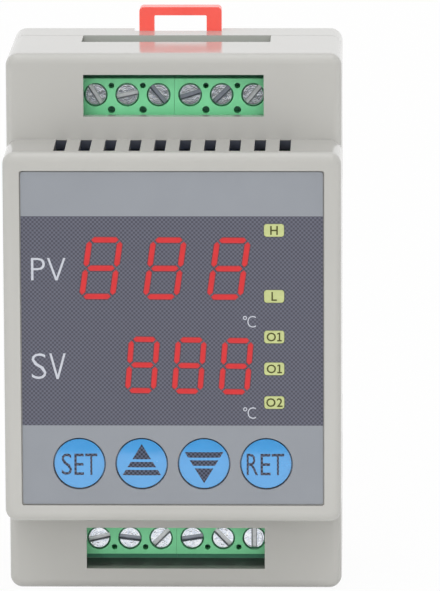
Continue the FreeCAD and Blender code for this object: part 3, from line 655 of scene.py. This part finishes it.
def place_at(shape, x, y, z):
    """Moves a bmesh."""
    bmesh.ops.translate(shape, verts=shape.verts, vec=(x, y, z))
    return shape


def plates(outlines, thickness):
    """Thin closed solids from outlines of (x, z) corners, with the back at Y = 0 and facing -Y."""
    shape = bmesh.new()
    for outline in outlines:
        shape.faces.new([shape.verts.new((x, 0.0, z)) for x, z in outline])
    walls = bmesh.ops.extrude_face_region(shape, geom=shape.faces[:])
    front = [v for v in walls["geom"] if isinstance(v, bmesh.types.BMVert)]
    bmesh.ops.translate(shape, verts=front, vec=(0.0, -thickness, 0.0))
    return shape


def joined(shapes):
    """One bmesh from several."""
    whole = bmesh.new()
    for shape in shapes:
        mesh = bpy.data.meshes.new("joined")
        shape.to_mesh(mesh)
        shape.free()
        whole.from_mesh(mesh)
        bpy.data.meshes.remove(mesh)
    return whole


def vee(width, height, stroke, thickness):
    """Letter V with a flat foot, lower left corner of its box at the origin."""
    crotch = height * stroke / (width - stroke)
    outline = [(0.0, height), ((width - stroke) / 2, 0.0), ((width + stroke) / 2, 0.0), (width, height),
               (width - stroke, height), (width / 2, crotch), (stroke, height)]
    return plates([outline], thickness)


def spelled(text, spans, height, thickness, stroke, weight):
    """Word whose letters start and end at given places, with its foot at the origin."""
    shapes = []
    edges = list(spans)
    for sign, start, end in zip(text, edges[0::2], edges[1::2], strict=True):
        if sign == "V":
            shape = vee(end - start, height, stroke, thickness)
        else:
            shape = written(sign, end - start, height, thickness, weight)
        shapes.append(place_at(shape, start, 0.0, 0.0))
    return joined(shapes)


def figure_one(height, stroke, thickness):
    """Figure one with a flag and a foot, lower left corner at the origin."""
    foot = 3.2 * stroke
    flag = 1.4 * stroke
    left, right = (foot - stroke) / 2, (foot + stroke) / 2
    outline = [(0.0, 0.0), (foot, 0.0), (foot, stroke), (right, stroke), (right, height), (left, height),
               (0.0, height - stroke / 2), (0.0, height - flag), (left, height - stroke), (left, stroke),
               (0.0, stroke)]
    return plates([outline], thickness)


def degree_ring(radius, stroke, thickness):
    """Small ring, lower left corner of its square at the origin."""
    shape = bmesh.new()
    section = bmesh.ops.create_grid(shape, x_segments=1, y_segments=1, size=0.5)["verts"]
    bmesh.ops.scale(shape, verts=section, vec=(stroke, thickness, 1.0))
    place_at(shape, radius - stroke / 2, -thickness / 2, 0.0)
    bmesh.ops.spin(shape, geom=shape.verts[:] + shape.edges[:] + shape.faces[:], cent=(0.0, 0.0, 0.0),
                   axis=(0.0, 1.0, 0.0), angle=math.tau, steps=24, use_merge=True)
    bmesh.ops.remove_doubles(shape, verts=shape.verts, dist=1e-7)
    inside = [f for f in shape.faces if all(len(e.link_faces) > 2 for e in f.edges)]
    bmesh.ops.delete(shape, geom=inside, context="FACES_ONLY")
    return place_at(shape, radius, 0.0, radius)


def groups_along(node, axis):
    """Middle of each group of a node's faces that stands apart along an axis."""
    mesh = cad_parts[node].data
    heights = [[mesh.vertices[i].co[axis] for i in face.vertices] for face in mesh.polygons]
    groups = []
    for low, high in sorted((min(span), max(span)) for span in heights):
        if groups and low <= groups[-1][1]:
            groups[-1][1] = max(groups[-1][1], high)
        else:
            groups.append([low, high])
    return [sum(group) / 2 for group in groups]


class CONTROLLER_OT_housing(bpy.types.Operator):
    """Finish the housing halves and the rail clip"""

    bl_idname = "controller.housing"
    bl_label = "Housing"

    def execute(self, context):
        settings = context.scene.controller.housing
        dress(moulded_abs(settings), "front_cover", "rear_base")
        dress(moulded_nylon_red(settings), "rail_clip")
        return {"FINISHED"}


class CONTROLLER_OT_face(bpy.types.Operator):
    """Finish the film, the digits and the lamps"""

    bl_idname = "controller.face"
    bl_label = "Face"

    def execute(self, context):
        settings = context.scene.controller.face
        dress(printed_film(settings), "face_overlay")
        dress(lit_epoxy(settings), "pv_segments", "sv_segments")
        dress(tinted_lens(settings), "indicator_lamps")
        return {"FINISHED"}


class CONTROLLER_OT_letters(bpy.types.Operator):
    """Print the letters beside the displays and the unit signs"""

    bl_idname = "controller.letters"
    bl_label = "Letters"

    def execute(self, context):
        settings = context.scene.controller.face
        pale = screen_ink("pale_grey_ink", settings.letters)
        wide, tall = settings.unit_size
        letter_x = FILM_HIGH.x - settings.unit_side - wide
        ring_x = letter_x - settings.unit_gap - 2 * settings.unit_ring
        rows = (
            ("PV", settings.pv_spans, settings.pv_height, PV_LOW, PV_HIGH, settings.pv_unit_drop),
            ("SV", settings.sv_spans, settings.sv_height, SV_LOW, SV_HIGH, settings.sv_unit_drop),
        )
        for text, spans, height, low, high, drop in rows:
            label = spelled(text, spans, height, settings.ink, settings.label_stroke, settings.label_weight)
            foot = (low.z + high.z - height) / 2 - settings.label_drop
            place_at(label, FILM_LOW.x, FACE_Y, foot)
            add_piece(text.lower() + "_label", label, pale, "housing")
            letter = written("C", wide, tall, settings.ink, settings.label_weight)
            place_at(letter, letter_x, 0.0, 0.0)
            ring = degree_ring(settings.unit_ring, settings.unit_stroke, settings.ink)
            place_at(ring, ring_x, 0.0, tall - 2 * settings.unit_ring)
            sign = place_at(joined([letter, ring]), 0.0, FACE_Y, low.z - drop)
            add_piece(text.lower() + "_unit", sign, pale, "housing")
        return {"FINISHED"}


def lamp_mark(text, settings):
    """Letter or letter and figure on a lamp, lower left corner at the origin."""
    shapes = []
    reach = 0.0
    for sign in text:
        if sign == "1":
            shape = figure_one(settings.lamp_letter, settings.lamp_stroke, settings.ink)
        else:
            shape = written(sign, None, settings.lamp_letter, settings.ink, settings.lamp_weight)
        shapes.append(place_at(shape, reach, 0.0, 0.0))
        reach = extent(shape)[1].x + settings.lamp_gap
    return joined(shapes)


class CONTROLLER_OT_lamp_letters(bpy.types.Operator):
    """Print the letters on the lamps"""

    bl_idname = "controller.lamp_letters"
    bl_label = "Lamp letters"

    def execute(self, context):
        settings = context.scene.controller.face
        olive = screen_ink("olive_ink", settings.lens_letters)
        low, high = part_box("indicator_lamps")
        rows = reversed(groups_along("indicator_lamps", 2))
        marks = ("H", "L", "O1", "O1", "O2")
        for order, (text, z) in enumerate(zip(marks, rows, strict=True), 1):
            letters = lamp_mark(text, settings)
            wide = extent(letters)[1].x
            place_at(letters, (low.x + high.x - wide) / 2, low.y, z - settings.lamp_letter / 2)
            add_piece(f"lamp_letters_{order}", letters, olive, "housing")
        return {"FINISHED"}


def arrow(settings, thickness, upwards):
    """Arrow of a point and two bars, centred at the origin, facing -Y."""
    tall = settings.arrow_height
    slope = settings.arrow_width / 2 / tall
    gap = (tall - settings.arrow_head - 2 * settings.arrow_bar) / 2
    second = settings.arrow_head + gap
    third = second + settings.arrow_bar + gap
    outlines = []
    for start, end in ((0.0, settings.arrow_head), (second, second + settings.arrow_bar), (third, tall)):
        sides = [(-start * slope, start), (-end * slope, end), (end * slope, end), (start * slope, start)]
        corners = sides if start else sides[:3]
        outlines.append([(x, tall / 2 - drop) for x, drop in corners])
    shape = plates(outlines, thickness)
    if not upwards:
        bmesh.ops.scale(shape, verts=shape.verts, vec=(1.0, 1.0, -1.0))
    return shape


def drape(shape, key, pitch, sink):
    """Cuts a thin legend into small pieces and lays it on the key's dome."""
    low, high = extent(shape)
    for axis in (0, 2):
        normal = Vector([1.0 if i == axis else 0.0 for i in range(3)])
        for step in range(1, math.ceil((high[axis] - low[axis]) / pitch)):
            cut = low + normal * step * pitch
            everything = shape.verts[:] + shape.edges[:] + shape.faces[:]
            bmesh.ops.bisect_plane(shape, geom=everything, plane_co=cut, plane_no=normal)
    # Each corner moves to where a ray from a metre in front meets the key.
    for vert in shape.verts:
        hit, point, _, _ = key.ray_cast(Vector((vert.co.x, -1.0, vert.co.z)), Vector((0.0, 1.0, 0.0)))
        if not hit:
            raise RuntimeError("a legend reaches past its key")
        vert.co.y += point.y + sink


class CONTROLLER_OT_keys(bpy.types.Operator):
    """Finish the keys and print their legends"""

    bl_idname = "controller.keys"
    bl_label = "Keys"

    def execute(self, context):
        settings = context.scene.controller.keys
        face = context.scene.controller.face
        dress(polished_key_plastic(settings), *[name + "_key" for name in KEYS])
        dark = screened_ink(settings, face.dot)
        thickness = 2 * face.ink
        style = (settings.word_height, thickness, face.label_stroke, settings.word_weight)
        foot = -settings.word_height / 2 - settings.word_drop
        shapes = {
            "set": (spelled("SET", settings.set_spans, *style), foot),
            "up": (arrow(settings, thickness, True), settings.arrow_shift),
            "down": (arrow(settings, thickness, False), -settings.arrow_shift),
            "return": (spelled("RET", settings.return_spans, *style), foot),
        }
        for name, (shape, shift) in shapes.items():
            low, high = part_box(name + "_key")
            middle = (low + high) / 2
            place_at(shape, middle.x, 0.0, middle.z + shift)
            drape(shape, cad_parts[name + "_key"], settings.drape, face.ink)
            add_piece(name + "_legend", shape, dark, name + "_key")
        return {"FINISHED"}


class CONTROLLER_OT_terminals(bpy.types.Operator):
    """Finish the terminal blocks, screws, cages and contacts"""

    bl_idname = "controller.terminals"
    bl_label = "Terminals"

    def execute(self, context):
        settings = context.scene.controller.terminals
        blocks = [f"{row}_{side}_terminal_block" for row in ROWS for side in ("left", "right")]
        dress(moulded_nylon_green(settings), *blocks)
        poles = [(row, pole) for row in ROWS for pole in POLES]
        dress(turned_zinc_steel("turned_zinc_steel", settings, settings.dirt),
              *[f"{row}_screw_{pole}" for row, pole in poles])
        # Painted light: these screws' slot floors are painted near white.
        dress(turned_zinc_steel("turned_zinc_steel_lit_slot_floor", settings, settings.wiped), *LIT_SLOT_SCREWS)
        dress(plated_sheet("zinc_plated_sheet", settings.zinc, settings.zinc_dull),
              *[f"{row}_cage_{pole}" for row, pole in poles])
        dress(plated_sheet("tinned_brass_sheet", settings.tin, shade_of(settings.tin, share=0.75)),
              "terminal_contacts")
        return {"FINISHED"}


class CONTROLLER_OT_inside(bpy.types.Operator):
    """Finish the boards and the parts on them"""

    bl_idname = "controller.inside"
    bl_label = "Inside"

    def execute(self, context):
        settings = context.scene.controller.inside
        metal = context.scene.controller.terminals
        dress(board_laminate(settings), "display_board", "main_board")
        case = moulded_case("moulded_display_case", settings.case, roughness=0.45)
        dress(case, "pv_display", "sv_display")
        black = moulded_case("moulded_black_plastic", settings.black, roughness=0.45)
        dress(black, "key_switches", "controller_chip", "link_socket", "link_header",
              *[name + "_plunger" for name in KEYS])
        cover = moulded_case("moulded_blue_cover", settings.relay, roughness=0.35)
        dress(cover, "first_relay", "second_relay")
        dress(moulded_case("cast_potting_resin", settings.resin, roughness=0.3), "transformer")
        dress(plated_sheet("zinc_plated_screw", metal.zinc, metal.zinc_dull), "display_board_screws")
        for node in ("large_capacitor", "small_capacitor"):
            dress(shrink_sleeve(settings, node), node)
        return {"FINISHED"}


def white_paper(settings):
    """Floor paper that shows white, keeps the shadow, and ends in front of the object."""
    # Matt paper: plain diffuse, lifted towards white for the camera, mirrored white up to its edge.
    material, tree, place = start_material("matt_white_paper")
    shade = shade_of(settings.paper, share=0.98)
    paper = add(tree, "ShaderNodeBsdfPrincipled", {
        "Base Color": mottle(tree, place, settings.paper, shade, size=40 * MM),
        "Roughness": 0.9})
    path = add(tree, "ShaderNodeLightPath").outputs
    depth = add(tree, "ShaderNodeSeparateXYZ", {"Vector": place}).outputs["Y"]
    mirrored = add(tree, "ShaderNodeMapRange", {
        "Value": depth, "From Min": settings.paper_edge - settings.paper_fade,
        "From Max": settings.paper_edge + settings.paper_fade, "To Min": settings.front_dim, "To Max": 1.0})
    lifted = add(tree, "ShaderNodeMath", {0: path["Is Camera Ray"], 1: settings.paper_lift},
                 operation="MULTIPLY")
    white = add(tree, "ShaderNodeEmission", {"Strength": 1.0})
    reflected = add(tree, "ShaderNodeEmission", {"Strength": mirrored})
    to_camera = add(tree, "ShaderNodeMixShader", {0: lifted, 1: paper, 2: white})
    shader = add(tree, "ShaderNodeMixShader", {0: path["Is Glossy Ray"], 1: to_camera, 2: reflected})
    add(tree, "ShaderNodeOutputMaterial", {"Surface": shader})
    return material


def studio_world(settings):
    """Sky that lights evenly, shows white, and is mirrored white behind and dim in front."""
    world = bpy.data.worlds.new("studio")
    world.use_nodes = True
    tree = world.node_tree
    tree.nodes.clear()
    path = add(tree, "ShaderNodeLightPath").outputs
    heading = add(tree, "ShaderNodeTexCoord").outputs["Generated"]
    depth = add(tree, "ShaderNodeSeparateXYZ", {"Vector": heading}).outputs["Y"]
    mirrored = add(tree, "ShaderNodeMapRange", {
        "Value": depth, "From Min": -0.3, "From Max": 0.3, "To Min": settings.front_dim, "To Max": 1.0})
    lighting = add(tree, "ShaderNodeMapRange", {
        "Value": path["Is Glossy Ray"], "To Min": settings.sky, "To Max": mirrored})
    strength = add(tree, "ShaderNodeMapRange", {
        "Value": path["Is Camera Ray"], "To Min": lighting, "To Max": 1.0})
    sky = add(tree, "ShaderNodeBackground", {"Strength": strength, "Color": (1.0, 1.0, 1.0, 1.0)})
    add(tree, "ShaderNodeOutputWorld", {"Surface": sky})
    return world


def softbox(name, place, aim, size, radiance, mirrored):
    """Rectangular light that looks from a place to an aim, shown in reflections or not."""
    light = bpy.data.lights.new(name, "AREA")
    light.shape = "RECTANGLE"
    light.size, light.size_y = size
    light.energy = radiance * math.pi * light.size * light.size_y
    lamp = bpy.data.objects.new(name, light)
    lamp.location = place
    lamp.rotation_euler = (aim - Vector(place)).to_track_quat("-Z", "Y").to_euler()
    lamp.visible_camera = False
    lamp.visible_glossy = mirrored
    bpy.context.scene.collection.objects.link(lamp)


class CONTROLLER_OT_stage(bpy.types.Operator):
    """Set the floor, the lights and the camera"""

    bl_idname = "controller.stage"
    bl_label = "Stage"

    def execute(self, context):
        scene = context.scene
        settings = scene.controller.stage
        scene.view_settings.view_transform = "Standard"
        shape = bmesh.new()
        bmesh.ops.create_grid(shape, x_segments=1, y_segments=1, size=settings.paper_size)
        place_at(shape, 0.0, 0.0, CAD_BOX[0].z - settings.floor_gap)
        mesh = bpy.data.meshes.new("floor")
        shape.to_mesh(mesh)
        shape.free()
        mesh.materials.append(white_paper(settings))
        floor = bpy.data.objects.new("floor", mesh)
        scene.collection.objects.link(floor)
        scene.world = studio_world(settings)

        middle = (CAD_BOX[0] + CAD_BOX[1]) / 2
        # The lights in front and behind stay out of the reflections, as lights behind a polariser do.
        lights = (
            ("overhead", settings.overhead_place, settings.large_box, settings.overhead, True),
            ("front_low", settings.front_low_place, settings.small_box, settings.front, False),
            ("front_high", settings.front_high_place, settings.small_box, settings.front, False),
            ("rear", settings.rear_place, settings.large_box, settings.rear, False),
        )
        for name, place, size, radiance, mirrored in lights:
            softbox(name, place, middle, size, radiance, mirrored)

        data = bpy.data.cameras.new("camera")
        data.lens = settings.lens
        camera = bpy.data.objects.new("camera", data)
        level = math.cos(settings.elevation)
        back = Vector((math.sin(settings.azimuth) * level, -math.cos(settings.azimuth) * level,
                       math.sin(settings.elevation)))
        camera.location = Vector(settings.target) + back * settings.distance
        turn = (-back).to_track_quat("-Z", "Y").to_matrix() @ Matrix.Rotation(settings.roll, 3, "Z")
        camera.rotation_euler = turn.to_euler()
        scene.collection.objects.link(camera)
        scene.camera = camera
        return {"FINISHED"}


OPERATORS = (
    CONTROLLER_OT_housing,
    CONTROLLER_OT_face,
    CONTROLLER_OT_letters,
    CONTROLLER_OT_lamp_letters,
    CONTROLLER_OT_keys,
    CONTROLLER_OT_terminals,
    CONTROLLER_OT_inside,
    CONTROLLER_OT_stage,
)


class CONTROLLER_PT_panel(bpy.types.Panel):
    """Steps that dress the controller"""

    bl_idname = "CONTROLLER_PT_panel"
    bl_label = "Temperature controller"
    bl_space_type = "VIEW_3D"
    bl_region_type = "UI"
    bl_category = "Controller"

    def draw(self, context):
        for operator in OPERATORS:
            self.layout.operator(operator.bl_idname)


CLASSES = (
    HousingSettings,
    FaceSettings,
    KeySettings,
    TerminalSettings,
    InsideSettings,
    StageSettings,
    ControllerSettings,
    *OPERATORS,
    CONTROLLER_PT_panel,
)


def register():
    """Adds the classes and the scene's settings."""
    for item in CLASSES:
        bpy.utils.register_class(item)
    bpy.types.Scene.controller = PointerProperty(type=ControllerSettings)


def unregister():
    """Takes the settings and the classes away again."""
    del bpy.types.Scene.controller
    for item in reversed(CLASSES):
        bpy.utils.unregister_class(item)


def main():
    """Dresses the controller and sets the stage."""
    register()
    bpy.ops.controller.housing()
    bpy.ops.controller.face()
    bpy.ops.controller.letters()
    bpy.ops.controller.lamp_letters()
    bpy.ops.controller.keys()
    bpy.ops.controller.terminals()
    bpy.ops.controller.inside()
    bpy.ops.controller.stage()


if __name__ == "__main__":
    main()
